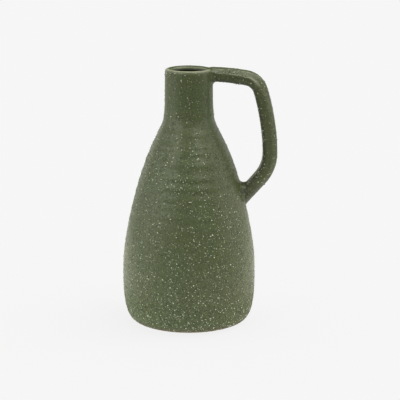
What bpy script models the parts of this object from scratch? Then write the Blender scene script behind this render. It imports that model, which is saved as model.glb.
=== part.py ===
"""Stoneware vase with a side handle, built up from its separate pieces of clay.

Metres, +Z up. The origin is the middle of the flat base and the handle points towards +X.
The vessel is two turned sections and a coil of clay in the seam between them. The handle is
a bent strap, and each of its ends is worked onto the vessel with a fillet of clay.
"""
import math

import bmesh
import bpy
import numpy as np

# Turned vessel: outer radii, and heights above the bench
HEIGHT = 0.250
FOOT_RADIUS = 0.0525
BELLY_RADIUS = 0.0646
BELLY_HEIGHT = 0.0535
SHOULDER_RADIUS = 0.0304
SHOULDER_HEIGHT = 0.1867
NECK_RADIUS = 0.02345
NECK_HEIGHT = 0.2153
LIP_RADIUS = 0.0231

# Clay thickness
BELLY_WALL = 0.0065
FLOOR_THICKNESS = 0.0085
LIP_THICKNESS = 0.0067

# Slope and fullness of the turned outline
SHOULDER_SLOPE = math.radians(30.2)
HEEL_ROUNDNESS = 1.2
HEEL_RISE = 0.0153
BELLY_FULLNESS = 0.0409
SHOULDER_FULLNESS = 0.0291

# Bevelled seam between the two turned sections
SEAM_DEPTH = 0.0034
SEAM_BEVEL_HEIGHT = 0.0095

# Handle: its centreline from the neck out, round and back to the belly, and its section
HANDLE_DROP = 0.00505
TOP_LEG_LENGTH = 0.0396
TOP_LEG_TURN = math.radians(10.3)
UPPER_BEND_RADIUS = 0.0173
UPPER_BEND_TURN = math.radians(62.3)
GRIP_LENGTH = 0.0636
GRIP_TURN = math.radians(17.1)
LOWER_BEND_RADIUS = 0.0370
LOWER_BEND_TURN = math.radians(42.1)
HANDLE_THICKNESS = 0.0140
HANDLE_WIDTH = 0.0170
HANDLE_CROWN_WIDTH = 0.0085
HANDLE_RIDGE_DROP = 0.0038
HANDLE_INNER_WIDTH = 0.0125
HANDLE_INNER_BEVEL = 0.0020
UPPER_END_SCALE = 0.935
LOWER_END_SCALE = 0.972
HANDLE_LAP = 0.0017

# Clay worked round the ends of the handle
UPPER_LUTE_RADIUS = 0.0034
LOWER_LUTE_RADIUS = 0.0032
LUTE_EDGE = 0.0008
LUTE_ROOT = 0.0047

# Gap between one piece and the next
JOINT_GAP = 0.0003

# How finely the round and bent stretches are divided, and a distance that counts as none
TURNED_STEPS = 64
HEEL_STEPS = 7
SIDE_STEPS = 9
BREAK_STEPS = 6
LIP_QUARTER_STEPS = 4
TOP_LEG_STEPS = 4
UPPER_BEND_STEPS = 9
GRIP_STEPS = 6
LOWER_BEND_STEPS = 6
FILLET_STEPS = 5
SEARCH_STEPS = 2000
MERGE_DISTANCE = 0.00001

STONEWARE = (0.082, 0.098, 0.052, 1.0)
PIECE_TINTS = {
    "belly": 1.0,
    "neck": 0.86,
    "neck_lute": 1.12,
    "handle": 0.92,
    "upper_handle_lute": 1.08,
    "lower_handle_lute": 1.08,
}


def new_collection(name):
    """Return an empty collection linked to the scene."""
    collection = bpy.data.collections.new(name)
    bpy.context.scene.collection.children.link(collection)
    return collection


def stoneware(name):
    """Return the olive glaze of one piece, a little lighter or darker than its neighbours."""
    tint = PIECE_TINTS[name]
    material = bpy.data.materials.new(name + "_glaze")
    material.use_nodes = True
    shader = material.node_tree.nodes["Principled BSDF"]
    shader.inputs["Base Color"].default_value = [value * tint for value in STONEWARE[:3]] + [1.0]
    shader.inputs["Roughness"].default_value = 0.55
    shader.inputs["Metallic"].default_value = 0.0
    return material


def bezier(start, start_handle, end_handle, end, steps):
    """Return points along a cubic Bezier curve, both ends included."""
    t = np.linspace(0.0, 1.0, steps + 1)[:, None]
    return ((1 - t) ** 3 * np.array(start) + 3 * (1 - t) ** 2 * t * np.array(start_handle)
            + 3 * (1 - t) * t ** 2 * np.array(end_handle) + t ** 3 * np.array(end))


def lip_quarter(start, end):
    """Return points on the lip's round between two angles, counted from its outermost point."""
    lip_round = LIP_THICKNESS / 2
    angle = np.linspace(start, end, LIP_QUARTER_STEPS + 1)
    return np.stack([LIP_RADIUS - lip_round + lip_round * np.cos(angle),
                     HEIGHT - lip_round + lip_round * np.sin(angle)], axis=1)


def outer_profile():
    """Return the outside of the whole vessel as (radius, height), from the foot to the lip's crest."""
    heel_reach = FOOT_RADIUS + HEEL_ROUNDNESS * (BELLY_RADIUS - FOOT_RADIUS)
    heel = bezier((FOOT_RADIUS, 0.0), (heel_reach, 0.0),
                  (BELLY_RADIUS, BELLY_HEIGHT - HEEL_RISE), (BELLY_RADIUS, BELLY_HEIGHT), HEEL_STEPS)
    shoulder = np.array([SHOULDER_RADIUS, SHOULDER_HEIGHT])
    down_slope = np.array([math.sin(SHOULDER_SLOPE), -math.cos(SHOULDER_SLOPE)])
    side = bezier((BELLY_RADIUS, BELLY_HEIGHT), (BELLY_RADIUS, BELLY_HEIGHT + BELLY_FULLNESS),
                  shoulder + SHOULDER_FULLNESS * down_slope, shoulder, SIDE_STEPS)
    neck_start = np.array([NECK_RADIUS, NECK_HEIGHT])
    rise = (SHOULDER_RADIUS - NECK_RADIUS) / math.tan(SHOULDER_SLOPE)
    corner = np.array([NECK_RADIUS, SHOULDER_HEIGHT + rise])
    soft_break = bezier(shoulder, (shoulder + 2 * corner) / 3, (neck_start + 2 * corner) / 3,
                        neck_start, BREAK_STEPS)
    return np.vstack([heel, side[1:], soft_break[1:], lip_quarter(0.0, math.pi / 2)])


def normals(profile):
    """Return the outward unit normals of a profile that runs up the outside."""
    along = np.gradient(profile, axis=0)
    out = np.stack([along[:, 1], -along[:, 0]], axis=1)
    return out / np.linalg.norm(out, axis=1)[:, None]


def inner_profile(outer):
    """Return the inside of the vessel, from the middle of the floor up to the lip's crest.

    It follows the outside at the wall's thickness, which eases from the belly's to the neck's.
    """
    below_lip = outer[:-LIP_QUARTER_STEPS]
    wall = np.interp(below_lip[:, 1], [SHOULDER_HEIGHT, NECK_HEIGHT], [BELLY_WALL, LIP_THICKNESS])
    inner = below_lip - wall[:, None] * normals(below_lip)
    lip = lip_quarter(math.pi, math.pi / 2)
    lowest = np.interp(FLOOR_THICKNESS, inner[:, 1], inner[:, 0])
    above_floor = FLOOR_THICKNESS + BELLY_WALL / 4
    inner = inner[(inner[:, 1] > above_floor) & (inner[:, 1] < lip[0, 1] - BELLY_WALL / 4)]
    return np.vstack([[0.0, FLOOR_THICKNESS], [lowest, FLOOR_THICKNESS], inner, lip])


def radius_at(profile, height):
    """Return a profile's radius at a height. The profile rises from its first point to its last."""
    return float(np.interp(height, profile[:, 1], profile[:, 0]))


def surface_normal(profile, height):
    """Return a rising profile's outward unit normal at a height."""
    each = normals(profile)
    out = np.array([np.interp(height, profile[:, 1], each[:, 0]),
                    np.interp(height, profile[:, 1], each[:, 1])])
    return out / np.linalg.norm(out)


def turned(name, profile, collection, closed):
    """Turn a profile of (radius, height) points round the Z axis with a Screw modifier."""
    count = len(profile)
    edges = [(index, index + 1) for index in range(count - 1)]
    if closed:
        edges.append((count - 1, 0))
    mesh = bpy.data.meshes.new(name)
    mesh.from_pydata([(radius, 0.0, height) for radius, height in profile], edges, [])
    piece = bpy.data.objects.new(name, mesh)
    collection.objects.link(piece)
    screw = piece.modifiers.new("turning", "SCREW")
    screw.axis = "Z"
    screw.angle = 2 * math.pi
    screw.steps = TURNED_STEPS
    screw.render_steps = TURNED_STEPS
    screw.use_merge_vertices = True
    screw.merge_threshold = MERGE_DISTANCE
    screw.use_smooth_shade = True
    return piece


def seam_values(outer):
    """Return the seam's height, and the bevels' lower, inner and upper ends as (radius, height)."""
    height = (SHOULDER_HEIGHT + NECK_HEIGHT) / 2
    low = height - SEAM_BEVEL_HEIGHT
    high = height + SEAM_BEVEL_HEIGHT
    root = np.array([radius_at(outer, height) - SEAM_DEPTH, height])
    return height, np.array([radius_at(outer, low), low]), root, np.array([radius_at(outer, high), high])


def make_belly(outer, inner, collection):
    """Lower section: flat base, floor, full wall, and a rim bevelled on its outer edge."""
    height, low_edge, root, _ = seam_values(outer)
    up_the_inside = inner[inner[:, 1] < height - MERGE_DISTANCE]
    rim = [[radius_at(inner[1:], height), height], root]
    down_the_outside = outer[outer[:, 1] < low_edge[1] - MERGE_DISTANCE][::-1]
    profile = np.vstack([up_the_inside, rim, [low_edge], down_the_outside, [[0.0, 0.0]]])
    return turned("belly", profile, collection, closed=False)


def make_neck(outer, inner, collection):
    """Upper section: a collar bevelled at its foot, with a rolled lip round the mouth."""
    height, _, root, high_edge = seam_values(outer)
    foot = height + JOINT_GAP
    down_the_outside = outer[outer[:, 1] > high_edge[1] + MERGE_DISTANCE][::-1]
    up_the_inside = inner[inner[:, 1] > foot + MERGE_DISTANCE][:-1]
    foot_face = [[root[0], foot], [radius_at(inner[1:], foot), foot]]
    profile = np.vstack([down_the_outside, [high_edge], foot_face, up_the_inside])
    return turned("neck", profile, collection, closed=True)


def make_neck_lute(outer, collection):
    """Coil of clay that fills the bevelled seam and carries the outside of the vessel across it.

    Its section is the groove's, with each bevel moved into the clay by the gap.
    """
    _, low_edge, root, high_edge = seam_values(outer)
    neck_root = root + np.array([0.0, JOINT_GAP])
    low_along = (low_edge - root) / np.linalg.norm(low_edge - root)
    high_along = (high_edge - neck_root) / np.linalg.norm(high_edge - neck_root)
    low_across = np.array([-low_along[1], low_along[0]])
    high_across = np.array([high_along[1], -high_along[0]])

    heights = np.linspace(low_edge[1], high_edge[1], SEARCH_STEPS)
    surface = np.stack([np.interp(heights, outer[:, 1], outer[:, 0]), heights], axis=1)
    clear = (((surface - root) @ low_across > JOINT_GAP)
             & ((surface - neck_root) @ high_across > JOINT_GAP))
    bottom, top = surface[clear][[0, -1]]
    face = outer[(outer[:, 1] > bottom[1] + JOINT_GAP) & (outer[:, 1] < top[1] - JOINT_GAP)]

    low_line = root + JOINT_GAP * low_across
    high_line = neck_root + JOINT_GAP * high_across
    lengths = np.linalg.solve(np.stack([low_along, -high_along], axis=1), high_line - low_line)
    coil_root = low_line + lengths[0] * low_along
    profile = np.vstack([[top], face[::-1], [bottom], [coil_root]])
    return turned("neck_lute", profile, collection, closed=True)


def vessel_clearance(outer, collection):
    """Solid that the handle and its clay are cut with: the vessel's outside and the gap round it.

    Above the lip it goes on as a plug, so that the handle's end stops at the lip's outer edge.
    """
    grown = outer + JOINT_GAP * normals(outer)
    plug_radius = LIP_RADIUS - HANDLE_LAP
    lip = grown[-LIP_QUARTER_STEPS - 1:]
    plug_foot = np.interp(plug_radius, lip[::-1, 0], lip[::-1, 1])
    below_plug = grown[(grown[:, 1] < lip[0, 1]) | (grown[:, 0] > plug_radius)]
    plug_top = HEIGHT + HANDLE_THICKNESS
    profile = np.vstack([[[0.0, plug_top], [plug_radius, plug_top], [plug_radius, plug_foot]],
                         below_plug[::-1], [[0.0, below_plug[0, 1]]]])
    cutter = turned("vessel_clearance", profile, collection, closed=False)
    cutter.hide_render = True
    cutter.display_type = "WIRE"
    return cutter


def handle_path(outer):
    """Return the handle's centreline in the XZ plane, with its headings and section scales.

    The path is stretches of steady turn. The last one runs straight until it is well inside
    the belly's wall, and the ends are then cut off at the vessel's surface.
    """
    stretches = [(TOP_LEG_LENGTH, TOP_LEG_TURN, TOP_LEG_STEPS),
                 (UPPER_BEND_RADIUS * UPPER_BEND_TURN, UPPER_BEND_TURN, UPPER_BEND_STEPS),
                 (GRIP_LENGTH, GRIP_TURN, GRIP_STEPS),
                 (LOWER_BEND_RADIUS * LOWER_BEND_TURN, LOWER_BEND_TURN, LOWER_BEND_STEPS)]
    place = np.array([LIP_RADIUS - LIP_THICKNESS, HEIGHT - HANDLE_DROP])
    heading = 0.0
    places = [place]
    headings = [heading]
    for length, turn, steps in stretches:
        for _ in range(steps):
            middle = heading - turn / steps / 2
            place = place + length / steps * np.array([math.cos(middle), math.sin(middle)])
            heading -= turn / steps
            places.append(place)
            headings.append(heading)
    direction = np.array([math.cos(heading), math.sin(heading)])
    reach = np.linspace(0.0, HEIGHT, SEARCH_STEPS)
    run = place + reach[:, None] * direction
    outside = run[:, 0] - np.interp(run[:, 1], outer[:, 1], outer[:, 0])
    surface = reach[np.argmax(outside < 0.0)]
    for length in (surface / 2, surface, surface + BELLY_WALL):
        places.append(place + length * direction)
        headings.append(heading)
    places = np.array(places)
    lengths = np.concatenate([[0.0], np.cumsum(np.linalg.norm(np.diff(places, axis=0), axis=1))])
    full_from = TOP_LEG_LENGTH + UPPER_BEND_RADIUS * UPPER_BEND_TURN
    full_to = lengths[-4]
    scales = np.interp(lengths, [0.0, full_from, full_to, lengths[-2]],
                       [UPPER_END_SCALE, 1.0, 1.0, LOWER_END_SCALE])
    return places, headings, scales


def handle_section(collection):
    """Return the handle's section as a closed curve: crowned outside, flat on the finger side.

    Eight corners are cut twice, which rounds them and leaves a soft ridge along each edge.
    """
    half = HANDLE_THICKNESS / 2
    corners = [(half, HANDLE_CROWN_WIDTH / 2),
               (half - HANDLE_RIDGE_DROP, HANDLE_WIDTH / 2),
               (HANDLE_INNER_BEVEL - half, HANDLE_WIDTH / 2),
               (-half, HANDLE_INNER_WIDTH / 2)]
    corners += [(out, -side) for out, side in corners[::-1]]
    outline = np.array(corners)
    for _ in range(2):
        following = np.roll(outline, -1, axis=0)
        outline = np.stack([0.75 * outline + 0.25 * following,
                            0.25 * outline + 0.75 * following], axis=1).reshape(-1, 2)
    curve = bpy.data.curves.new("handle_section", "CURVE")
    curve.dimensions = "2D"
    spline = curve.splines.new("POLY")
    spline.points.add(len(outline) - 1)
    for point, (out, side) in zip(spline.points, outline):
        point.co = (-out, side, 0.0, 1.0)
    spline.use_cyclic_u = True
    guide = bpy.data.objects.new("handle_section", curve)
    guide.hide_render = True
    guide.display_type = "WIRE"
    collection.objects.link(guide)
    return guide


def swept(name, places, scales, section, collection):
    """Sweep the handle's section along points in the XZ plane and return it as a closed mesh."""
    curve = bpy.data.curves.new(name, "CURVE")
    curve.dimensions = "3D"
    curve.twist_mode = "Z_UP"
    curve.bevel_mode = "OBJECT"
    curve.bevel_object = section
    curve.use_fill_caps = True
    spline = curve.splines.new("POLY")
    spline.points.add(len(places) - 1)
    for point, (along, height), scale in zip(spline.points, places, scales):
        point.co = (along, height, 0.0, 1.0)
        point.radius = scale
    guide = bpy.data.objects.new(name + "_curve", curve)
    guide.rotation_euler = (math.pi / 2, 0.0, 0.0)
    collection.objects.link(guide)
    bpy.context.view_layer.update()
    evaluated = guide.evaluated_get(bpy.context.evaluated_depsgraph_get())
    mesh = bpy.data.meshes.new_from_object(evaluated)
    mesh.name = name
    shape = bmesh.new()
    shape.from_mesh(mesh)
    bmesh.ops.remove_doubles(shape, verts=shape.verts, dist=MERGE_DISTANCE)
    bmesh.ops.recalc_face_normals(shape, faces=shape.faces)
    shape.to_mesh(mesh)
    shape.free()
    piece = bpy.data.objects.new(name, mesh)
    piece.matrix_world = guide.matrix_world
    bpy.data.objects.remove(guide)
    collection.objects.link(piece)
    return piece


def cut(piece, cutter):
    """Take a cutter's shape away from a piece."""
    boolean = piece.modifiers.new(cutter.name, "BOOLEAN")
    boolean.operation = "DIFFERENCE"
    boolean.solver = "EXACT"
    boolean.object = cutter


def lute_path(surface_point, direction, handle_heading, handle_scale, radius):
    """Return centreline points and section scales of the clay round one end of the handle.

    The path is square to the vessel's surface, from inside its wall to a fillet's radius
    outside it. The clay stands off the handle by a quarter round, and its section is widened
    for the slant at which the handle meets the surface.
    """
    slant = math.atan2(direction[1], direction[0]) - handle_heading
    tangent = np.array([-direction[1], direction[0]])
    quarter_turn = np.linspace(0.0, math.pi / 2, FILLET_STEPS + 1)
    reach = np.concatenate([[-LUTE_ROOT], radius * (1 - np.cos(quarter_turn))])
    stand_off = LUTE_EDGE + radius * np.concatenate([[1.0], 1 - np.sin(quarter_turn)])
    middle = surface_point - radius / 2 * math.tan(slant) * tangent
    points = middle + reach[:, None] * direction
    return points, handle_scale / math.cos(slant) + stand_off / (HANDLE_THICKNESS / 2)


def level_cutter(height, collection):
    """Block above a height, which keeps the clay at the neck below the handle's upper face."""
    shape = bmesh.new()
    bmesh.ops.create_cube(shape, size=2 * HANDLE_WIDTH)
    bmesh.ops.translate(shape, verts=shape.verts, vec=(LIP_RADIUS, 0.0, height + HANDLE_WIDTH))
    mesh = bpy.data.meshes.new("lip_level")
    shape.to_mesh(mesh)
    shape.free()
    cutter = bpy.data.objects.new("lip_level", mesh)
    cutter.hide_render = True
    cutter.display_type = "WIRE"
    collection.objects.link(cutter)
    return cutter


def finish(piece, crease=math.radians(40)):
    """Give a piece its glaze and smooth shading that breaks at sharp edges."""
    piece.data.materials.append(stoneware(piece.name))
    piece.data.shade_smooth()
    piece.data.set_sharp_from_angle(angle=crease)


def main():
    for leftover in list(bpy.data.objects):
        bpy.data.objects.remove(leftover)
    pieces = new_collection("stoneware_vase")
    guides = new_collection("cutters")

    outer = outer_profile()
    inner = inner_profile(outer)
    belly = make_belly(outer, inner, pieces)
    neck = make_neck(outer, inner, pieces)
    neck_lute = make_neck_lute(outer, pieces)

    vessel = vessel_clearance(outer, guides)
    section = handle_section(guides)
    places, headings, scales = handle_path(outer)
    handle = swept("handle", places, scales, section, pieces)
    cut(handle, vessel)

    swell = 2 * JOINT_GAP / HANDLE_THICKNESS
    handle_room = swept("handle_clearance", places, scales + swell, section, guides)
    handle_room.hide_render = True
    handle_room.display_type = "WIRE"

    upper_point = np.array([radius_at(outer, HEIGHT - HANDLE_DROP), HEIGHT - HANDLE_DROP])
    lute_places, lute_scales = lute_path(upper_point, np.array([1.0, 0.0]), headings[0],
                                         scales[0], UPPER_LUTE_RADIUS)
    upper_lute = swept("upper_handle_lute", lute_places, lute_scales, section, pieces)
    handle_top = HEIGHT - HANDLE_DROP + UPPER_END_SCALE * HANDLE_THICKNESS / 2
    cut(upper_lute, level_cutter(handle_top - LUTE_EDGE, guides))

    lower_point = places[-2]
    out = surface_normal(outer, lower_point[1])
    lute_places, lute_scales = lute_path(lower_point, out, headings[-1] + math.pi,
                                         scales[-1], LOWER_LUTE_RADIUS)
    lower_lute = swept("lower_handle_lute", lute_places[::-1], lute_scales[::-1], section, pieces)
    for lute in (upper_lute, lower_lute):
        cut(lute, vessel)
        cut(lute, handle_room)

    for piece in (belly, neck, neck_lute, handle, upper_lute, lower_lute):
        finish(piece)


main()
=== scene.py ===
"""Stoneware jug vase in a satin olive glaze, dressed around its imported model.

Metres, +Z up. The origin is the middle of the base and the handle points towards +X.
"""

import math

import bpy
import numpy as np
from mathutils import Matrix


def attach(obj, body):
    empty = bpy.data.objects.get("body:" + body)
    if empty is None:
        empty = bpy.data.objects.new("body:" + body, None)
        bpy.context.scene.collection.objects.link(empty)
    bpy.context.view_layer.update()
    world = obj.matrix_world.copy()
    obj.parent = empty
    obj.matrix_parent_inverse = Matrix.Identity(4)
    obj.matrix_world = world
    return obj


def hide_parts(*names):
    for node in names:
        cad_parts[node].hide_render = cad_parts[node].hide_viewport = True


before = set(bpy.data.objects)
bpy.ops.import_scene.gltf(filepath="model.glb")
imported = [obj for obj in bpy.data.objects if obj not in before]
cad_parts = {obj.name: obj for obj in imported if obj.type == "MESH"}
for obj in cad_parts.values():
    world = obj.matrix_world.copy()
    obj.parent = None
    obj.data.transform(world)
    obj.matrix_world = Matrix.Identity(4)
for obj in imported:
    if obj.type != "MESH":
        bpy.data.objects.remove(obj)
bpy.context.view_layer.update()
scene = bpy.context.scene
for name in ("Cube", "Light", "Camera"):
    if name in bpy.data.objects:
        bpy.data.objects.remove(bpy.data.objects[name])


# Turned vessel
# Belly and neck are thrown from stoneware clay and joined at the shoulder while leather hard.
# The seam is smoothed away. The thrower's fingers leave soft rings round the upper half, and the
# lip is rolled over, in one wall of about 6.5 mm.

# curves of the profile by radius and height, and soft swells by height, depth and width
HEEL = ((0.0525, 0.0), (0.06702, 0.0), (0.0646, 0.0382), (0.0646, 0.0535))
SIDE = ((0.0646, 0.0535), (0.0646, 0.0944), (0.04504, 0.16155), (0.0304, 0.1867))
SHOULDER_BREAK = ((0.0304, 0.1867), (0.02577, 0.19466), (0.02345, 0.20419), (0.02345, 0.2153))
LIP_OUT = ((0.0232, 0.2466), (0.0232, 0.2488), (0.0222, 0.2500), (0.0204, 0.2500))
LIP_IN = ((0.0204, 0.2500), (0.0191, 0.2500), (0.0166, 0.2502), (0.0164, 0.2455))
SWELLS = ((0.2105, 0.00030, 0.0050), (0.1915, 0.00038, 0.0055), (0.0500, 0.00050, 0.0300))
BELLY_WALL = 0.0065
NECK_WALL = 0.0067
FLOOR_HEIGHT = 0.0085
INNER_HEEL_TOP = 0.0210
INNER_FLOOR_RADIUS = 0.0430
UNDERSIDE_RADIUS = 0.0505
LIP_ROWS = 12
COLUMNS = 288


def bezier(controls, count):
    """Cubic Bezier curve: the controls weighted by the four Bernstein terms of t, for count even t."""
    t = np.linspace(0.0, 1.0, count)[:, None]
    a, b, c, d = np.array(controls)
    return (1 - t) ** 3 * a + 3 * (1 - t) ** 2 * t * b + 3 * (1 - t) * t ** 2 * c + t ** 3 * d


def outward(profile):
    """Unit normals of a profile that runs up the outside: its slope turned a quarter clockwise."""
    along = np.gradient(profile, axis=0)
    out = np.stack([along[:, 1], -along[:, 0]], axis=1)
    return out / np.linalg.norm(out, axis=1)[:, None]


def bell(value, middle, width):
    """Bell curve: e to the minus square of the way from the middle, counted in widths."""
    return np.exp(-((value - middle) / width) ** 2)


def rise(value, start, length):
    """0 before the start, 1 past the length, and straight between. A negative length runs downwards."""
    return np.clip((value - start) / length, 0.0, 1.0)


neck_side = np.linspace(SHOULDER_BREAK[3], LIP_OUT[0], 24)
outside = np.vstack([bezier(HEEL, 42), bezier(SIDE, 104)[1:], bezier(SHOULDER_BREAK, 26)[1:],
                     neck_side[1:-1], bezier(LIP_OUT, LIP_ROWS)])
for swell_height, swell, width in SWELLS:
    outside[:, 0] += swell * bell(outside[:, 1], swell_height, width)
lip_inside = bezier(LIP_IN, LIP_ROWS)[1:]
wall = np.interp(outside[:, 1], [SIDE[3][1], SHOULDER_BREAK[3][1]], [BELLY_WALL, NECK_WALL])
inside = (outside - wall[:, None] * outward(outside))[::-1]
inside = inside[(inside[:, 1] < LIP_IN[3][1]) & (inside[:, 1] > INNER_HEEL_TOP)][::2]
inner_heel = bezier((inside[-1], (0.0572, 0.0125), (0.0530, FLOOR_HEIGHT),
                     (INNER_FLOOR_RADIUS, FLOOR_HEIGHT)), 14)
floor_inside = np.stack([np.linspace(INNER_FLOOR_RADIUS, 0.0020, 12), np.full(12, FLOOR_HEIGHT)], axis=1)
underside = np.stack([np.linspace(0.0030, UNDERSIDE_RADIUS, 12), np.zeros(12)], axis=1)
vessel_profile = np.vstack([underside, outside, lip_inside, inside, inner_heel[1:], floor_inside[1:]])

# height, depth and width of each ring that the thrower's fingers leave
RINGS = np.array([[0.2290, 0.00006, 0.0034], [0.2060, 0.00008, 0.0028], [0.1892, 0.00078, 0.0032],
                  [0.1784, 0.00034, 0.0021], [0.1727, 0.00046, 0.0020], [0.1626, 0.00078, 0.0036],
                  [0.1500, 0.00070, 0.0027], [0.1409, 0.00066, 0.0028], [0.1309, 0.00044, 0.0028],
                  [0.1231, 0.00020, 0.0028], [0.1134, 0.00030, 0.0034], [0.1027, 0.00022, 0.0038],
                  [0.0860, 0.00012, 0.0050], [0.0400, 0.00006, 0.0060]])


def finger_rings(angle, height):
    """How far the thrower's rings stand out, in metres.

    Each ring is a bell curve of the height less the ring's own height, which climbs by a
    cosine of the angle, times the ring's depth and a cosine of the angle for the hand's
    pressure. A slow out-of-round is added. The wall is fuller above the handle's lower end and
    the belly leans away from it, both by a bell curve of the height times the angle's cosine,
    and a wide bell curve draws the ringed wall in a little.
    """
    climb = 0.0009 * np.cos(angle + 1.57) + 0.0004 * np.cos(3 * angle)
    pressed = 0.55 + 0.45 * np.cos(angle[..., None] + 1.95)
    shapes = bell(height[..., None] - climb[..., None], RINGS[:, 0], RINGS[:, 2])
    marks = (RINGS[:, 1] * pressed * shapes).sum(axis=-1)
    fuller = 0.00055 * np.clip(np.cos(angle), 0.0, None) ** 2 * bell(height, 0.158, 0.026)
    leaning = 0.00022 * np.cos(angle) * bell(height, 0.042, 0.036)
    drawn_in = 0.00018 * bell(height, 0.152, 0.034)
    out_of_round = rise(height, 0.0, 0.06) * 0.00010 * np.cos(2 * angle + 9 * height)
    return marks + fuller - leaning - drawn_in + out_of_round


def from_handle(angle):
    """Angle from the handle's side, +X, turned into the half circle to either side of it."""
    return np.mod(angle + math.pi, 2 * math.pi) - math.pi


def skin(name, rings, poles):
    """Closed skin over rings of points, with a fan of triangles from a pole to each end ring."""
    count, around = rings.shape[:2]
    points = np.vstack([rings.reshape(-1, 3), poles])
    here = np.arange(count * around).reshape(count, around)
    beside = np.roll(here, -1, axis=1)
    quads = np.stack([here[:-1], beside[:-1], beside[1:], here[1:]], axis=-1).reshape(-1, 4)
    first = np.stack([beside[0], here[0], np.full(around, count * around)], axis=-1)
    last = np.stack([here[-1], beside[-1], np.full(around, count * around + 1)], axis=-1)
    mesh = bpy.data.meshes.new(name)
    mesh.from_pydata(points, [], quads.tolist() + first.tolist() + last.tolist())
    mesh.shade_smooth()
    piece = bpy.data.objects.new(name, mesh)
    scene.collection.objects.link(piece)
    return piece


def measure(piece, name, values, pole_values=(0.0, 0.0)):
    """Store one number for each point of a skin, under a name that its material reads."""
    each = np.append(np.ravel(values), pole_values).astype(np.float32)
    piece.data.attributes.new(name, "FLOAT", "POINT").data.foreach_set("value", each)


turn = np.linspace(0.0, 2 * math.pi, COLUMNS, endpoint=False)
radius, height = np.broadcast_arrays(vessel_profile[:, :1], vessel_profile[:, 1:2])
radius = np.repeat(radius, COLUMNS, axis=1)
height = np.repeat(height, COLUMNS, axis=1)
angle = np.broadcast_to(turn, radius.shape)

# the thrower's rings fade in over a few rows above the foot and out over the lip's inner side
row = np.arange(len(vessel_profile))[:, None]
first_outside = len(underside)
first_inside = first_outside + len(outside) + len(lip_inside)
is_outside = rise(row, first_outside, 6) * rise(row, first_inside, -10)

# below the lip the inside is painted dark, as shade, and has soft throwing marks further down
SHADED_INSIDE_TOP = 0.2485
MARKS_TOP = 0.240
MARKS_FOOT = 0.020
inside_below_lip = (row > first_inside - 8) * rise(height, SHADED_INSIDE_TOP, -0.0018)
radius = radius + finger_rings(angle, height) * is_outside
inner_marks = inside_below_lip * rise(height, MARKS_TOP, -0.020) * (height > MARKS_FOOT)
radius = radius + 0.00018 * np.sin(height * 760 + 1.3 * np.cos(angle)) * inner_marks

# the lip is not quite level: it stands a little higher at the front
lip_rise = 0.00030 - 0.00028 * np.sin(angle) + 0.00006 * np.cos(3 * angle + 1.0)
height = height + lip_rise * rise(height, 0.236, 0.012)
vessel = skin("glazed_vessel",
              np.stack([radius * np.cos(angle), radius * np.sin(angle), height], axis=-1),
              [[0.0, 0.0, 0.0], [0.0, 0.0, FLOOR_HEIGHT]])

# the glaze thins over the lip's crest, and a painted highlight is laid on it, most at the front
# and not at the handle; at the back a painted glint runs over the lip's inner edge
CREST_RADIUS = 0.0212
CREST_FOOT = 0.2476
INNER_ROLL_HEIGHT = 0.2485
INNER_ROLL_RADIUS = 0.0195
crest = bell(radius, CREST_RADIUS, 0.0013) * rise(height, CREST_FOOT, 0.0012)
crest = crest * np.clip(0.62 - 0.5 * np.sin(angle), 0.12, 0.72)
crest = crest * (1.0 - bell(from_handle(angle), 0.0, 0.38))
# painted glint along the lip's inner edge at the back
inner_roll_glint = (radius < INNER_ROLL_RADIUS) * bell(height, INNER_ROLL_HEIGHT, 0.0009)
inner_roll_glint = inner_roll_glint * rise(np.sin(angle), 0.0, 1 / 1.4) * (0.86 + 0.26 * np.cos(angle))
measure(vessel, "thin_edge_and_highlight", np.maximum(crest, inner_roll_glint * 0.42))
measure(vessel, "shaded_inside", inside_below_lip, (0.0, 1.0))
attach(vessel, "root")
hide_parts("belly", "neck", "neck_lute")


class Wire:
    """An output socket in a material. Python arithmetic on wires adds Math nodes."""

    def __init__(self, socket):
        self.socket = socket

    @classmethod
    def node(cls, tree, kind, settings=None, inputs=None, output=0):
        """Add a node, make its settings, set or link its inputs, and return one of its outputs."""
        made = tree.nodes.new("ShaderNode" + kind)
        for name, value in (settings or {}).items():
            setattr(made, name, value)
        for name, value in (inputs or {}).items():
            if isinstance(value, Wire):
                tree.links.new(value.socket, made.inputs[name])
            else:
                made.inputs[name].default_value = value
        return cls(made.outputs[output])

    def math(self, operation, first, second=0.0, clamp=False):
        """Add a Math node in this wire's tree."""
        return Wire.node(self.socket.id_data, "Math", {"operation": operation, "use_clamp": clamp},
                         {0: first, 1: second})

    def __add__(self, other):
        return self.math("ADD", self, other)

    def __sub__(self, other):
        return self.math("SUBTRACT", self, other)

    def __rsub__(self, other):
        return self.math("SUBTRACT", other, self)

    def __mul__(self, other):
        return self.math("MULTIPLY", self, other)

    def __truediv__(self, other):
        return self.math("DIVIDE", self, other)

    __radd__ = __add__
    __rmul__ = __mul__

    def step(self, low, high):
        """0 up to low, 1 from high, and a smooth rise between."""
        return Wire.node(self.socket.id_data, "MapRange", {"interpolation_type": "SMOOTHSTEP"},
                         {"Value": self, "From Min": low, "From Max": high})


def mixed(tree, factor, first, second):
    """Mix two colours, each given as RGB or as a wire."""
    colours = [value if isinstance(value, Wire) else (*value, 1.0) for value in (first, second)]
    return Wire.node(tree, "Mix", {"data_type": "RGBA"}, {0: factor, 6: colours[0], 7: colours[1]}, 2)


def noise(tree, place, scale, detail=2.0, roughness=0.5):
    """Soft noise about 0.5, read at a place in metres."""
    return Wire.node(tree, "TexNoise", {}, {"Vector": place, "Scale": scale, "Detail": detail,
                                            "Roughness": roughness})


def cells(tree, place, scale):
    """Distance from the nearest of scattered points, in cells, and that point's random colour."""
    distance = Wire.node(tree, "TexVoronoi", {}, {"Vector": place, "Scale": scale})
    return distance, Wire(distance.socket.node.outputs["Color"])


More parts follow.
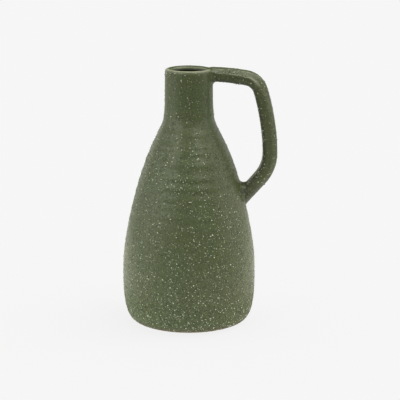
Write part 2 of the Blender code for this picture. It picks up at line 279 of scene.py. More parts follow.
OLIVE = (0.0562, 0.0800, 0.0206)
OLIVE_GREEN = (0.0512, 0.0805, 0.0222)
OLIVE_BROWN = (0.0665, 0.0795, 0.0194)
PALE_THIN_GLAZE_AND_HIGHLIGHT = (0.380, 0.395, 0.270)
PALE_GRIT = (0.330, 0.345, 0.210)
# dark glaze, also used as painted shade in the pits and on the handle
DARK_MOTTLE_AND_SHADE = (0.013, 0.018, 0.006)
INSIDE_SHADE = (0.009, 0.013, 0.004)
FOOT_GLAZE_AND_SHADE = (0.052, 0.043, 0.015)
BARE_CLAY = (0.190, 0.135, 0.082)
DRAGGED_CLAY = (0.30, 0.235, 0.155)


def olive_glaze(name, thin_and_highlight_measure, speck_density):
    """Satin olive glaze over gritty stoneware.

    The colour is mottled olive and browner towards the handle's side, where the brown tint is
    painted warm light from that side. It is darker in fine pits, as painted shade, and paler where
    the glaze thins over an edge, under a painted highlight along parts of that edge, and over specks
    of grit just under the surface, which are commoner lower down. Bump gives the pits, the specks
    and a fine orange-peel grain. Returns the material, its tree, place, height, colour, relief and
    roughness.
    """
    material = bpy.data.materials.new(name)
    material.use_nodes = True
    tree = material.node_tree
    place = Wire.node(tree, "TexCoord", output="Object")
    up = Wire.node(tree, "SeparateXYZ", inputs={0: place}, output=2)
    across = Wire(up.socket.node.outputs["X"])

    mottle = noise(tree, place, 34.0, 3.0, 0.55).step(0.26, 0.74)
    browning = noise(tree, place, 19.0, 2.0, 0.5).step(0.42, 0.70)
    colour = mixed(tree, mottle, OLIVE_GREEN, OLIVE)
    # the brown tint towards +X, the handle's side, is painted warm light from the right; the rest of the
    # browning is patchy tone
    colour = mixed(tree, browning * 0.35 + across.step(-0.02, 0.05) * 0.45, colour, OLIVE_BROWN)

    grain = noise(tree, place, 700.0, 2.0, 0.6)
    pit_reach, pit_colour = cells(tree, place, 560.0)
    pit_kind = Wire.node(tree, "SeparateColor", inputs={0: pit_colour})
    # painted shade: the pits are darkened as well as sunk by the bump
    pits = (1.0 - pit_reach.step(0.28, 0.56)) * pit_kind.step(0.60, 0.72)
    colour = mixed(tree, pits * 0.88, colour, DARK_MOTTLE_AND_SHADE)
    colour = mixed(tree, (1.0 - grain.step(0.26, 0.46)) * 0.60, colour, DARK_MOTTLE_AND_SHADE)
    colour = mixed(tree, grain.step(0.58, 0.80) * 0.32, colour, PALE_GRIT)

    speck_reach, speck_colour = cells(tree, place, 640.0)
    speck_kind = Wire.node(tree, "SeparateColor", inputs={0: speck_colour}, output=1)
    rarest = 1.0 - speck_density * (1.25 - up * 3.2)
    speck_size = (speck_kind - rarest) / (1.0 - rarest)
    specks = (1.0 - speck_reach.step(0.14, 0.42)) * speck_size.step(0.0, 0.35)
    colour = mixed(tree, specks * 0.70, colour, PALE_GRIT)

    # pale thin glaze over edges, together with a painted highlight and glints laid on through the same
    # measure
    thin_edge_and_highlight = Wire.node(tree, "Attribute", {"attribute_name": thin_and_highlight_measure}, output=2)
    broken = thin_edge_and_highlight * (0.55 + noise(tree, place, 260.0, 3.0, 0.6) * 0.9)
    colour = mixed(tree, broken.math("MULTIPLY", broken, 1.0, clamp=True), colour, PALE_THIN_GLAZE_AND_HIGHLIGHT)
    relief = grain * 1.2 + specks * 1.6 - pits * 1.6 + noise(tree, place, 210.0, 2.0, 0.5) * 0.8
    roughness = 0.32 + grain * 0.12 + specks * 0.18
    return material, tree, place, up, colour, relief, roughness


def finish_glaze(tree, colour, relief, roughness, depth=0.00010):
    """Connect a glaze's colour, relief and roughness to the material's shader."""
    shader = tree.nodes["Principled BSDF"]
    normal = Wire.node(tree, "Bump", {}, {"Strength": 1.0, "Distance": depth, "Height": relief})
    shader.inputs["IOR"].default_value = 1.5
    tree.links.new(colour.socket, shader.inputs["Base Color"])
    tree.links.new(roughness.socket, shader.inputs["Roughness"])
    tree.links.new(normal.socket, shader.inputs["Normal"])


# the vessel's glaze stops at an uneven line just above the foot, and the underside is bare clay
vessel_glaze, tree, place, up, colour, relief, roughness = olive_glaze("vessel_glaze", "thin_edge_and_highlight", 0.30)
glaze_line = noise(tree, place, 55.0, 3.0, 0.6) * 0.0030
bare = 1.0 - (up - glaze_line).step(-0.0006, 0.0002)
drag_marks = Wire.node(tree, "TexWave", {"wave_type": "RINGS", "rings_direction": "Z"},
                       {"Vector": place, "Scale": 150.0, "Distortion": 3.0, "Detail": 2.0,
                        "Detail Scale": 0.4})
dragged = drag_marks * 0.45 + noise(tree, place, 300.0, 3.0) * 0.5
clay = mixed(tree, dragged, BARE_CLAY, DRAGGED_CLAY)
# just above the foot the glaze is darker and browner: thin glaze over the clay, and painted contact shade
colour = mixed(tree, (1.0 - up.step(0.0015, 0.0095)) * 0.85, colour, FOOT_GLAZE_AND_SHADE)
colour = mixed(tree, bare, colour, clay)
shaded_inside = Wire.node(tree, "Attribute", {"attribute_name": "shaded_inside"}, output=2)
# painted shade: the inside below the lip is darkened almost to black
colour = mixed(tree, shaded_inside * 0.95, colour, INSIDE_SHADE)
roughness = roughness + bare * 0.42 + shaded_inside * 0.26
relief = relief * (1.0 - shaded_inside * 0.7) + bare * drag_marks * 1.2
finish_glaze(tree, colour, relief, roughness)
vessel.data.materials.append(vessel_glaze)


# Handle
# A strap of the same clay with a crowned outer face, bent by hand from the lip out, down and
# back to the belly. Slip and a roll of clay are worked round both ends into soft fillets.
# The glaze thins over the strap's ridges, with a painted highlight most along the top leg, and its hollows
# and ends are darker, partly pooled glaze and partly painted shade.

# the path starts within the lip, and each stretch has a length and the angle that it bends by
PATH_START = (0.0164, 0.24495)
STRETCHES = ((0.0396, math.radians(10.3)), (0.0173 * math.radians(62.3), math.radians(62.3)),
             (0.0636, math.radians(17.1)), (0.0370 * math.radians(42.1), math.radians(42.1)),
             (0.0420, 0.0))
EASE_STEPS = 8
STEP = 0.00025

# corners of half the section, outwards and sideways, and the ridge's outward distance by reach
CROWN = (0.0070, 0.00425)
RIDGE = (0.0032, 0.0085)
INNER_SIDE = (-0.0050, 0.0085)
INNER_EDGE = (-0.0070, 0.00625)
RIDGE_REACH = (0.0055, 0.0085, 0.0125, 0.036, 0.046, 0.054, 0.070)
RIDGE_OUT = (0.0048, 0.0034, 0.0023, 0.0021, 0.0014, 0.0008, 0.0030)
ROUND_POINTS = 7
FLAT_POINTS = 4
STRAP_ROWS = 210

lengths = np.array([length for length, _ in STRETCHES])
ends = np.cumsum(lengths)
along = np.arange(0.0, ends[-1], STEP)
bend = np.array([turn / length for length, turn in STRETCHES])
curvature = bend[np.minimum(np.searchsorted(ends, along, side="right"), len(bend) - 1)]
ease = np.ones(2 * EASE_STEPS + 1) / (2 * EASE_STEPS + 1)
curvature = np.convolve(np.pad(curvature, EASE_STEPS, mode="edge"), ease, mode="valid")
heading = -np.cumsum(curvature) * STEP
middle = heading + curvature * STEP / 2
moves = np.stack([np.cos(middle), np.sin(middle)], axis=1)[:-1]
path = np.array(PATH_START) + np.vstack([[0.0, 0.0], np.cumsum(moves, axis=0) * STEP])
path[:, 0] -= 0.00020 * bell(along, ends[1] + 0.030, 0.022)
path_scale = np.interp(along, [0.0, ends[1], ends[1] + 0.02, ends[2] - 0.02, ends[3], ends[3] + 0.019],
                       [0.935, 1.0, 1.02, 1.02, 1.0, 0.965])


def strap_section(reach):
    """The strap's section at each reach along the path, as distances outwards and sideways.

    Eight corners in mirrored pairs. A corner is a quadratic Bezier curve between the points a
    softening length before and after it, and even points on a line lead from one corner to the
    next. The ridge's softening is short on the top leg, for a crisp edge, and grows round the bend.
    """
    half = [CROWN, RIDGE, INNER_SIDE, INNER_EDGE]
    corners = np.array(half + [(out, -side) for out, side in half[::-1]])
    corners = corners * np.ones(reach.shape + (1, 1))
    corners[..., 1, 0] = corners[..., 6, 0] = np.interp(reach, RIDGE_REACH, RIDGE_OUT)
    crisp = 1.0 - rise(reach, 0.036, 0.016)
    half_softening = [0.0019, 0.0022 - 0.0014 * crisp, 0.0014, 0.0012]
    softening = np.stack([np.broadcast_to(soft, reach.shape)
                          for soft in half_softening + half_softening[::-1]], axis=-1)
    before = np.roll(corners, 1, axis=-2) - corners
    after = np.roll(corners, -1, axis=-2) - corners
    before /= np.linalg.norm(before, axis=-1)[..., None]
    after /= np.linalg.norm(after, axis=-1)[..., None]
    start = corners + softening[..., None] * before
    stop = corners + softening[..., None] * after
    t = np.linspace(0.0, 1.0, ROUND_POINTS)[:, None]
    round_part = ((1 - t) ** 2 * start[..., None, :] + 2 * t * (1 - t) * corners[..., None, :]
                  + t ** 2 * stop[..., None, :])
    t = np.linspace(0.0, 1.0, FLAT_POINTS + 2)[1:-1, None]
    flat_part = (1 - t) * stop[..., None, :] + t * np.roll(start, -1, axis=-2)[..., None, :]
    section = np.concatenate([round_part, flat_part], axis=-2)
    return section.reshape(*section.shape[:-3], -1, 2)


def strap_surface(reach):
    """Points of the strap at a grid of reaches, one column for each point of the section.

    A point is the path's place plus the section's outward distance along the path's normal and
    its sideways distance along Y, which sways by two sines of the reach. Near the lip the upper
    face dips as the square of the way left. Returns the points and the outward directions.
    """
    columns = np.arange(reach.shape[-1])
    section = strap_section(reach)[..., columns, columns, :]
    scale = np.interp(reach, along, path_scale)
    sway = 1.0 + 0.010 * np.sin(reach * 118 + 0.8) + 0.006 * np.sin(reach * 263)
    x = np.interp(reach, along, path[:, 0])
    z = np.interp(reach, along, path[:, 1])
    way = np.interp(reach, along, heading)
    normal = np.stack([-np.sin(way), np.zeros_like(way), np.cos(way)], axis=-1)
    sideways = np.array([0.0, 1.0, 0.0])
    points = (np.stack([x, np.zeros_like(x), z], axis=-1) + (section[..., :1] * scale[..., None]) * normal
              + (section[..., 1:] * (scale * sway)[..., None]) * sideways)
    dip = 40.0 * np.clip(0.0236 - points[..., 0], 0.0, None) ** 2
    points[..., 2] -= dip * rise(section[..., 0], 0.0, 0.007)
    facing = section / np.linalg.norm(section, axis=-1)[..., None]
    return points, facing[..., :1] * normal + facing[..., 1:] * sideways


outline = np.vstack([outside, lip_inside])
outline_normals = outward(outline)


def off_vessel(points):
    """Distance of points from the vessel's outside, negative within, and its outward direction.

    Worked out in the half plane of radius and height: the nearest point over the outline's
    short straight segments, with the normals of its ends mixed by the place between them.
    """
    flat = np.stack([np.hypot(points[..., 0], points[..., 1]), points[..., 2]], axis=-1)[..., None, :]
    start = outline[:-1]
    segment = outline[1:] - start
    share = np.clip(((flat - start) * segment).sum(-1) / (segment ** 2).sum(-1), 0.0, 1.0)
    away = np.linalg.norm(flat - start - share[..., None] * segment, axis=-1)
    nearest = np.argmin(away, axis=-1)
    share = np.take_along_axis(share, nearest[..., None], axis=-1)
    normal = (1 - share) * outline_normals[nearest] + share * outline_normals[nearest + 1]
    foot = start[nearest] + share * segment[nearest]
    distance = ((flat[..., 0, :] - foot) * normal).sum(-1)
    radial = points[..., :2] / np.hypot(points[..., 0], points[..., 1])[..., None]
    direction = np.concatenate([radial * normal[..., :1], normal[..., 1:]], axis=-1)
    return distance - finger_rings(np.arctan2(points[..., 1], points[..., 0]), foot[..., 1]), direction


def reach_at(distance, low, high):
    """Reach at which each strap point is a given distance from the vessel, by halving the interval."""
    near, far = np.full_like(distance, low), np.full_like(distance, high)
    for _ in range(34):
        reach = (near + far) / 2
        beyond = off_vessel(strap_surface(reach)[0])[0] > distance
        far = np.where(beyond, reach, far)
        near = np.where(beyond, near, reach)
    return reach


def luted_end(low, high, fillet):
    """The strap's end and the clay worked round it: rows of points from within the wall outwards.

    Each column's fillet is an arc that touches the vessel and the strap's line, which meet at
    the column's own angle. At a distance from the vessel the point moves along the surface by
    the arc's place less the line's place, with the arc's middle at the fillet's radius over
    the tangent of half the angle. Returns the points and the reach of each.
    """
    foot = reach_at(np.zeros((1, fillet.size)), low, high)
    at_foot, facing = strap_surface(foot)
    normal = off_vessel(at_foot)[1]
    leaving = strap_surface(foot + math.copysign(0.0004, high - low))[0] - at_foot
    leaving /= np.linalg.norm(leaving, axis=-1)[..., None]
    aside = facing - (facing * normal).sum(-1)[..., None] * normal
    aside /= np.maximum(np.linalg.norm(aside, axis=-1), 0.5)[..., None]
    cosine = np.clip((leaving * aside).sum(-1), -0.6, 0.6)
    sine = np.sqrt(1.0 - cosine ** 2)

    shares = np.array([0.0, 0.012, 0.04, 0.09, 0.16, 0.25, 0.36, 0.48, 0.61, 0.74, 0.87, 1.0])[:, None]
    distance = np.vstack([np.full((1, fillet.size), -0.0011), np.full((1, fillet.size), -0.0004),
                          shares * fillet * (1.0 + cosine)])
    reach = reach_at(distance, low, high)
    points, facing = strap_surface(reach)
    normal = off_vessel(points)[1]
    above = np.maximum(distance, 0.0)
    arc = np.sqrt(np.maximum(fillet ** 2 - (fillet - above) ** 2, 0.0))
    spread = fillet * (1.0 + cosine) / sine - arc - above * cosine / sine
    spread = np.maximum(spread, 0.0) + np.maximum(-distance, 0.0) * 0.5
    aside = facing - (facing * normal).sum(-1)[..., None] * normal
    points = points + spread[..., None] * aside
    now, normal = off_vessel(points)
    settle = np.clip(1.5 - 2.0 * distance / distance[-1:], 0.0, 1.0)
    points = points + (settle * (distance - now))[..., None] * normal
    return points, reach


# the fillets are wide on the strap's inner face and tight on its outer face
plain = strap_section(np.array([0.1]))[0]
outerness = 0.5 + 0.5 * plain[:, 0] / np.hypot(plain[:, 0], plain[:, 1])
upper_rows, upper_reach = luted_end(low=0.0030, high=0.0260, fillet=0.0050 - 0.0038 * outerness)
lower_rows, lower_reach = luted_end(low=ends[-1] - 0.0040, high=ends[3] - 0.0100,
                                    fillet=0.0064 - 0.0052 * outerness)
share = np.linspace(0.0, 1.0, STRAP_ROWS)[1:-1, None]
strap_reach = (1 - share) * upper_reach[-1] + share * lower_reach[-1]
strap_rows, _ = strap_surface(strap_reach)
handle_rows = np.concatenate([upper_rows, strap_rows, lower_rows[::-1]])
handle_reach = np.vstack([upper_reach, strap_reach, lower_reach[::-1]])
handle = skin("glazed_handle", handle_rows[:, ::-1],
              [handle_rows[0].mean(axis=0), handle_rows[-1].mean(axis=0)])

# the glaze is thin over the corners of the section, above all over the two ridges beside the crown,
# and a painted highlight runs along the ridges of the top leg and into the bend
column = np.arange(len(plain))
corner, point = np.divmod(column, ROUND_POINTS + FLAT_POINTS)
corner_middle = bell(point, (ROUND_POINTS - 1) / 2, 2.0)
on_ridge = np.select([np.isin(corner, (1, 6)), np.isin(corner, (0, 7))], [0.93, 0.20], 0.17)
along_ridge = np.interp(handle_reach, [0.010, 0.026, 0.036, 0.048, 0.055], [0.25, 0.75, 1.0, 1.0, 0.10])
measure(handle, "strap_edge_and_highlight", (on_ridge * corner_middle * along_ridge)[:, ::-1])

# it is darker along the inner corners of the strap's sides, under the ridges of the top leg, and at
# both ends on all faces but the crowned one, each given by its columns: partly pooled glaze and
# partly painted shade
INNER_CORNERS = (25.5, 58.5)
BELOW_RIDGES = (19.5, 64.0)
INNER_MIDDLE = 42.0
TO_THE_RIDGE = 21.0
in_corner = sum(bell(column, at, 2.6) for at in INNER_CORNERS)
under_ridge = sum(bell(column, at, 1.4) for at in BELOW_RIDGES) * bell(handle_reach, 0.035, 0.010) * 0.75
at_joint = np.maximum(0.45 * rise(handle_reach, 0.0270, -0.006),
                      0.60 * rise(handle_reach, ends[-1] - 0.0185, 0.006))
below_crown = rise(np.abs(column - INNER_MIDDLE), TO_THE_RIDGE, -3.0)
pooled_glaze_and_shade = np.maximum(np.maximum(in_corner, under_ridge), at_joint * below_crown)
measure(handle, "pooled_glaze_and_shade", pooled_glaze_and_shade[:, ::-1])

# the clay is roughest where it was worked on, along the top leg and at the lower end
worked = np.interp(handle_reach, [0.012, 0.030, 0.042, 0.050, 0.150, 0.166],
                   [0.7, 0.7, 0.5, 0.2, 0.2, 1.0])
measure(handle, "worked", worked[:, ::-1])
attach(handle, "root")
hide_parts("handle", "upper_handle_lute", "lower_handle_lute")

handle_glaze, tree, place, up, colour, relief, roughness = olive_glaze("handle_glaze", "strap_edge_and_highlight", 0.16)
pooled_glaze_and_shade = Wire.node(tree, "Attribute", {"attribute_name": "pooled_glaze_and_shade"}, output=2)
# painted shade, with some pooled glaze, darkens the inner corners, the faces under the ridges and the shaded
# faces at both ends
colour = mixed(tree, pooled_glaze_and_shade * (0.40 + noise(tree, place, 240.0, 3.0, 0.6) * 0.7), colour, DARK_MOTTLE_AND_SHADE)
worked = Wire.node(tree, "Attribute", {"attribute_name": "worked"}, output=2)
rough_clay = noise(tree, place, 470.0, 3.0, 0.65)
colour = mixed(tree, rough_clay.step(0.50, 0.60) * worked * 0.75, colour, DARK_MOTTLE_AND_SHADE)
colour = mixed(tree, (1.0 - rough_clay.step(0.34, 0.44)) * worked * 0.38, colour, PALE_GRIT)
relief = relief - rough_clay * worked * 1.5
finish_glaze(tree, colour, relief, roughness)
handle.data.materials.append(handle_glaze)


# Grit
# Coarse pale grains in the clay stand up through the glaze, which leaves their tops thinly
# covered or bare. Round their feet the colour is darker, partly pooled glaze and partly painted
# shade. They lie thickest near the base, and are finer and less pale to the handle's side of the
# shoulder's front.
GRAIN_SIDES = 5
GRAIN_RINGS = ((1.80, 0.04, 0.0), (0.86, 0.62, 1.0))


def grains(name, places, normals, sizes, heights, paleness, draw):
    """Grains half sunk in a surface: a wide, darker ring at the foot, pooled glaze and painted shade, one
    above it, a crown.

    A point is the grain's place plus its size times the ring's width, along two directions
    across the surface that are turned by chance, plus the ring's share of its height along
    the surface's normal. The last number of a ring is the share of the grain's paleness there.
    """
    count = len(places)
    helper = np.where(np.abs(normals[:, 2:]) < 0.9, [[0.0, 0.0, 1.0]], [[1.0, 0.0, 0.0]])
    across = np.cross(normals, helper)
    across /= np.linalg.norm(across, axis=1)[:, None]
    over = np.cross(normals, across)
    spin = draw.uniform(0.0, 2 * math.pi, (count, 1)) + np.arange(GRAIN_SIDES) * 2 * math.pi / GRAIN_SIDES
    stretch = draw.uniform(0.7, 1.0, (count, 1))
    ragged = draw.uniform(0.8, 1.2, (count, GRAIN_SIDES))
    wide = np.cos(spin) * ragged * sizes[:, None]
    long = np.sin(spin) * ragged * stretch * sizes[:, None]
    flat = wide[..., None] * across[:, None] + long[..., None] * over[:, None]
    lift = heights[:, None, None] * normals[:, None]
    rings = [places[:, None] + width * flat + share * lift for width, share, _ in GRAIN_RINGS]
    crown = places + heights[:, None] * normals
    points = np.concatenate(rings + [crown[:, None]], axis=1)
    per_grain = points.shape[1]
    side = np.arange(GRAIN_SIDES)
    after = np.roll(side, -1)
    quads = np.concatenate([np.stack([side, after, after + GRAIN_SIDES, side + GRAIN_SIDES], axis=-1)
                            + GRAIN_SIDES * ring for ring in range(len(GRAIN_RINGS) - 1)])
    top = GRAIN_SIDES * (len(GRAIN_RINGS) - 1)
    caps = np.stack([side + top, after + top, np.full(GRAIN_SIDES, per_grain - 1)], axis=-1)
    shift = np.arange(count)[:, None, None] * per_grain
    faces = ((quads + shift).reshape(-1, 4).tolist() + (caps + shift).reshape(-1, 3).tolist()
             + (side[::-1] + shift[:, 0]).tolist())
    mesh = bpy.data.meshes.new(name)
    mesh.from_pydata(points.reshape(-1, 3), [], faces)
    mesh.shade_smooth()
    share = np.array([ring[2] for ring in GRAIN_RINGS for _ in range(GRAIN_SIDES)] + [1.0])
    pale = (paleness[:, None] * share).astype(np.float32).ravel()
    mesh.attributes.new("paleness", "FLOAT", "POINT").data.foreach_set("value", pale)
    piece = bpy.data.objects.new(name, mesh)
    scene.collection.objects.link(piece)
    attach(piece, "root")
    return piece


def grain_sizes(draw, count, coarseness):
    """Radius, height and paleness of grains: many fine ones and a few coarse, pale ones."""
    sizes = 0.000245 * np.exp(0.38 * draw.standard_normal(count))
    sizes = coarseness * np.clip(sizes, 0.00012, 0.00058)
    heights = sizes * draw.uniform(0.60, 1.15, count)
    paleness = np.clip(draw.uniform(0.0, 1.0, count) ** 1.2 + (sizes - 0.0003) * 1500, 0.05, 1.0)
    return sizes, heights, paleness


# on the vessel the chance of a grain follows the outside's area times a density for each height,
# apart from a few that are set under the front of the lip
draw = np.random.default_rng(11)
VESSEL_GRAINS = 24000
LIP_GRAINS = 26
LIP_GRAIN_ROWS = (2.5, 11.0)
LIP_GRAIN_ANGLES = (-2.25, -1.55)
DENSITY_HEIGHTS = (0.0, 0.02, 0.047, 0.073, 0.10, 0.18, 0.20, 0.212, 0.24, 0.246, 0.25)
DENSITIES = (2.7, 2.5, 1.70, 1.40, 1.20, 1.16, 0.70, 0.42, 0.33, 0.9, 0.9)
COARSENESS_HEIGHTS = (0.0, 0.03, 0.06, 0.10, 0.19)
COARSENESS = (0.84, 0.88, 0.96, 1.00, 1.08)
SHELTERED_ANGLE = -0.55
rows = np.arange(len(outside))
steps = np.linalg.norm(np.diff(outside, axis=0), axis=1)
density = np.interp(outside[:, 1], DENSITY_HEIGHTS, DENSITIES)
weight = steps * (density * outside[:, 0])[1:]
chance = np.concatenate([[0.0], np.cumsum(weight)]) / weight.sum()
where = np.interp(draw.uniform(0.0, 1.0, VESSEL_GRAINS), chance, rows)
grain_angle = draw.uniform(0.0, 2 * math.pi, VESSEL_GRAINS)
where[:LIP_GRAINS] = len(outside) - 1 - draw.uniform(*LIP_GRAIN_ROWS, LIP_GRAINS)
grain_angle[:LIP_GRAINS] = draw.uniform(*LIP_GRAIN_ANGLES, LIP_GRAINS)
grain_height = np.interp(where, rows, outside[:, 1])
grain_radius = np.interp(where, rows, outside[:, 0]) + finger_rings(grain_angle, grain_height)
outside_normals = outward(outside)
normal_out = np.interp(where, rows, outside_normals[:, 0])
normal_up = np.interp(where, rows, outside_normals[:, 1])
cosine, sine = np.cos(grain_angle), np.sin(grain_angle)
places = np.stack([grain_radius * cosine, grain_radius * sine, grain_height], axis=1)
normals = np.stack([normal_out * cosine, normal_out * sine, normal_up], axis=1)
coarseness = np.interp(grain_height, COARSENESS_HEIGHTS, COARSENESS)
sheltered = bell(from_handle(grain_angle - SHELTERED_ANGLE), 0.0, 0.60) * rise(grain_height, 0.120, 0.020)
sizes, heights, paleness = grain_sizes(draw, VESSEL_GRAINS, coarseness * (1.0 - 0.20 * sheltered))
paleness = paleness * (1.0 - 0.45 * sheltered)
vessel_grit = []
for name, low, high in (("grit_on_heel", 0.0012, 0.05), ("grit_on_belly", 0.05, 0.12),
                        ("grit_on_shoulder_and_neck", 0.12, 0.26)):
    keep = (grain_height > low) & (grain_height <= high)
    vessel_grit.append(grains(name, places[keep], normals[keep], sizes[keep], heights[keep],
                              paleness[keep], draw))

# on the handle any point of the strap is as likely, apart from a few coarse grains with set places
HANDLE_GRAINS = 1700
END_ROWS = 8
COARSE_COLUMNS = np.array([45, 44, 2, 86, 82])
COARSE_REACHES = np.array([[0.0305], [0.0325], [0.0540], [0.1090], [0.1505]])
COARSE_GRAINS = len(COARSE_COLUMNS)
COARSE_RADIUS = 0.00062
COARSE_HEIGHT = 0.00072
row_at = draw.integers(END_ROWS, len(handle_rows) - END_ROWS - 1, HANDLE_GRAINS)
column_at = draw.integers(0, handle_rows.shape[1], HANDLE_GRAINS)
row_at[:COARSE_GRAINS] = np.argmin(np.abs(handle_reach[:, COARSE_COLUMNS].T - COARSE_REACHES), axis=1)
column_at[:COARSE_GRAINS] = COARSE_COLUMNS
along_strap = np.gradient(handle_rows, axis=0)
around_strap = np.roll(handle_rows, -1, axis=1) - np.roll(handle_rows, 1, axis=1)
strap_normals = np.cross(along_strap, around_strap)
strap_normals /= np.linalg.norm(strap_normals, axis=-1)[..., None]
outwards = handle_rows - handle_rows.mean(axis=1, keepdims=True)
strap_normals *= np.sign((strap_normals * outwards).sum(-1))[..., None]
slide = draw.uniform(0.0, 1.0, (HANDLE_GRAINS, 1))
places = (1 - slide) * handle_rows[row_at, column_at] + slide * handle_rows[row_at + 1, column_at]
sizes, heights, paleness = grain_sizes(draw, HANDLE_GRAINS, 0.98)
sizes[:COARSE_GRAINS] = COARSE_RADIUS
heights[:COARSE_GRAINS] = COARSE_HEIGHT
normals = strap_normals[row_at, column_at]
handle_grit = grains("grit_on_handle", places, normals, sizes, heights, paleness, draw)

POOLED_AND_SHADE = (0.036, 0.050, 0.0135)
BARE_GRAIN = (0.71, 0.76, 0.56)
grit_material = bpy.data.materials.new("grit")
grit_material.use_nodes = True
tree = grit_material.node_tree
place = Wire.node(tree, "TexCoord", output="Object")
paleness = Wire.node(tree, "Attribute", {"attribute_name": "paleness"}, output=2)
covered = noise(tree, place, 1400.0, 2.0, 0.6)
# the grains' feet take the darker colour, as pooled glaze and painted shade, and their tops the pale one
colour = mixed(tree, paleness.step(0.25, 0.92) * (0.82 + covered * 0.36), POOLED_AND_SHADE, BARE_GRAIN)
roughness = 0.55 + covered * 0.2
finish_glaze(tree, colour, covered, roughness, depth=0.00004)
for grit in (*vessel_grit, handle_grit):
    grit.data.materials.append(grit_material)


# Floor
# A wide sheet of pale paper that the vase stands on. The camera sees it as an even pale grey,
# with only a trace of the vase's shadow. In place of bounced light it glows by itself towards the
# lower belly, most from close by, and the glaze reflects that glow, brighter to the left and
# darker far off.
BACKGROUND = 0.922
GREY = (BACKGROUND, BACKGROUND, BACKGROUND, 1.0)
PAPER = (0.55, 0.55, 0.55, 1.0)
WARM = (1.0, 0.98, 0.88, 1.0)
FLOOR_REACH = 6.0
FLOOR_LEVEL = -0.0002
floor_corners = [(across * FLOOR_REACH, back * FLOOR_REACH, FLOOR_LEVEL)
                 for across, back in ((-1, -1), (1, -1), (1, 1), (-1, 1))]
floor_mesh = bpy.data.meshes.new("studio_floor")
floor_mesh.from_pydata(floor_corners, [], [(0, 1, 2, 3)])
studio_floor = bpy.data.objects.new("studio_floor", floor_mesh)
scene.collection.objects.link(studio_floor)
floor_paper = bpy.data.materials.new("floor_paper")
floor_paper.use_nodes = True
tree = floor_paper.node_tree
tree.nodes.remove(tree.nodes["Principled BSDF"])
seen = Wire.node(tree, "LightPath")
glossy = Wire(seen.socket.node.outputs["Is Glossy Ray"])
through = Wire(seen.socket.node.outputs["Is Transmission Ray"])
place = Wire.node(tree, "TexCoord", output="Object")
from_vase = Wire.node(tree, "VectorMath", {"operation": "LENGTH"}, {0: place}, "Value")
near = from_vase.step(0.09, 0.17)
far = from_vase.step(0.54, 0.84)
to_left = 1.0 - Wire.node(tree, "SeparateXYZ", inputs={0: place}).step(-0.34, -0.16)
left = to_left * (1.0 - from_vase.step(0.36, 0.52))
paper = Wire.node(tree, "BsdfDiffuse", inputs={"Color": PAPER})
even = Wire.node(tree, "Emission", inputs={"Color": GREY})
evenness = 0.90 + from_vase.step(0.05, 0.45) * 0.10
shadowed = Wire.node(tree, "MixShader", inputs={0: evenness, 1: paper, 2: even})
# the floor's own glow, seen in reflections and lighting the lower belly, stands in for bounced light
shine_strength = 0.58 + near * 0.92 - far * 1.10 + left * 0.36
shine = Wire.node(tree, "Emission", inputs={"Color": WARM, "Strength": shine_strength})
floor_glow_strength = 2.17 - near * 1.34 - from_vase.step(0.28, 0.45) * 0.83
floor_glow = Wire.node(tree, "Emission", inputs={"Strength": floor_glow_strength})
by_camera = seen.math("MAXIMUM", seen, through)
looked_at = Wire.node(tree, "MixShader", inputs={0: by_camera, 1: floor_glow, 2: shadowed})
result = Wire.node(tree, "MixShader", inputs={0: glossy, 1: looked_at, 2: shine})
tree.links.new(result.socket, tree.nodes["Material Output"].inputs["Surface"])
floor_mesh.materials.append(floor_paper)


# Studio light and camera
# Warm white softboxes left and right of the camera, two more overhead, lit walls to both sides
# and two weaker lamps behind. Soft fill comes from the back of the room, and what the glaze
# reflects is bright on the camera's side. The camera looks a little down through a long lens.
world = bpy.data.worlds.new("studio")
scene.world = world
world.use_nodes = True
tree = world.node_tree
tree.nodes.remove(tree.nodes["Background"])
seen = Wire.node(tree, "LightPath")
glossy = Wire(seen.socket.node.outputs["Is Glossy Ray"])
through = Wire(seen.socket.node.outputs["Is Transmission Ray"])
direction = Wire.node(tree, "TexCoord")
behind = Wire.node(tree, "SeparateXYZ", inputs={0: direction}, output=1).step(-0.5, 0.3)
WHITE = (1.0, 1.0, 1.0, 1.0)
fill = Wire.node(tree, "Background", inputs={"Color": WHITE, "Strength": behind * 1.50})
room = Wire.node(tree, "Background", inputs={"Color": WARM, "Strength": 1.16 - behind * 1.16})
backdrop = Wire.node(tree, "Background", inputs={"Color": GREY})
lit = Wire.node(tree, "MixShader", inputs={0: glossy, 1: fill, 2: room})
by_camera = seen.math("MAXIMUM", seen, through)
result = Wire.node(tree, "MixShader", inputs={0: by_camera, 1: lit, 2: backdrop})
tree.links.new(result.socket, tree.nodes["World Output"].inputs["Surface"])

# lamps and camera face a point near the middle of the vase
LAMP_COLOUR = (1.0, 0.99, 0.93)
target = np.array([0.010794, 0.0, 0.119519])


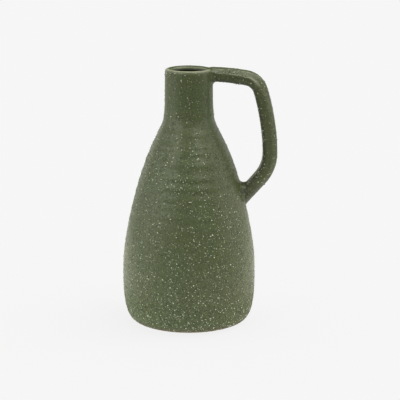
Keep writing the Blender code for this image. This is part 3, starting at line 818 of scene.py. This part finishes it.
def softbox(name, azimuth, elevation, distance, width, tall, watts):
    """A rectangular lamp that faces the vase. Azimuth 0 is the camera's side, and 90 is +X."""
    azimuth, elevation = math.radians(azimuth), math.radians(elevation)
    out = np.array([math.sin(azimuth) * math.cos(elevation), -math.cos(azimuth) * math.cos(elevation),
                    math.sin(elevation)])
    lamp = bpy.data.lights.new(name, "AREA")
    lamp.shape = "RECTANGLE"
    lamp.size = width
    lamp.size_y = tall
    lamp.energy = watts
    lamp.color = LAMP_COLOUR
    piece = bpy.data.objects.new(name, lamp)
    piece.location = target + distance * out
    piece.rotation_euler = (math.pi / 2 - elevation, 0.0, azimuth)
    scene.collection.objects.link(piece)


softbox("left_softbox", -46.0, 29.0, 1.6, 0.5, 0.8, 5.2)
softbox("right_softbox", 32.0, 40.0, 1.6, 0.4, 0.6, 3.4)
softbox("top_left_softbox", -90.0, 65.0, 1.5, 1.0, 1.0, 1.8)
softbox("top_right_softbox", 90.0, 65.0, 1.5, 1.0, 1.0, 13.6)
softbox("left_wall", -84.0, 4.0, 1.5, 1.4, 1.6, 11.2)
softbox("right_wall", 95.0, 6.0, 1.5, 1.4, 1.6, 9.4)
softbox("back_left_lamp", -140.0, 9.0, 1.6, 1.2, 1.0, 4.6)
softbox("back_right_lamp", 140.0, 9.0, 1.6, 1.2, 1.0, 3.0)

CAMERA_TILT = 0.243
CAMERA_DISTANCE = 1.48225
SENSOR_WIDTH = 36.0
FOCAL_PIXELS = 1503.64
PICTURE_PIXELS = 400
camera_data = bpy.data.cameras.new("camera")
camera_data.sensor_fit = "HORIZONTAL"
camera_data.sensor_width = SENSOR_WIDTH
camera_data.lens = SENSOR_WIDTH * FOCAL_PIXELS / PICTURE_PIXELS
camera = bpy.data.objects.new("camera", camera_data)
camera_way = np.array([0.0, -math.cos(CAMERA_TILT), math.sin(CAMERA_TILT)])
camera.location = target + CAMERA_DISTANCE * camera_way
camera.rotation_euler = (math.pi / 2 - CAMERA_TILT, 0.0, 0.0)
scene.collection.objects.link(camera)
scene.camera = camera
scene.view_settings.view_transform = "Standard"
